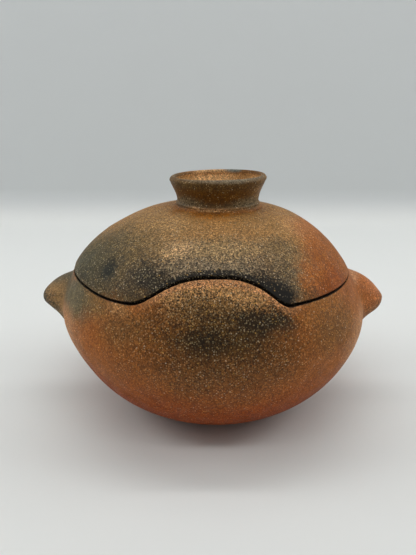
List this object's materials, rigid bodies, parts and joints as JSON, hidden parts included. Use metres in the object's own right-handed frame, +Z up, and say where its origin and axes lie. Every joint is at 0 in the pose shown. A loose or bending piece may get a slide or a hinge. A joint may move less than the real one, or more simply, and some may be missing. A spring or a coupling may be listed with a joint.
{
  "type": "lidded bean pot",
  "caption": "Round-bellied clay cooking pot with a domed lift-off lid, cut to it along a wavy seam, a hollow collar knob and two side lugs.",
  "frame": {"origin": "centre of the flat base the pot stands on", "axes": "+Z up; +X towards the right lug and -X towards the left one; -Y towards the front, where the seam rises in an arch"},
  "size_m": [0.279, 0.24, 0.1845],
  "materials": {
    "bowl_clay": "matte",
    "lug_clay": "matte",
    "lid_clay": "matte",
    "knob_clay": "matte"
  },
  "bodies": {
    "bowl_body": {"bowl": "bowl_clay", "left_lug": "lug_clay", "right_lug": "lug_clay"},
    "lid_body": {"lid": "lid_clay", "lid_knob": "knob_clay"}
  },
  "joints": [
    {"name": "lid_lift", "type": "slide", "parent": "bowl_body", "child": "lid_body", "axis": [0, 0, 1], "range_m": [0, 0.1]}
  ]
}
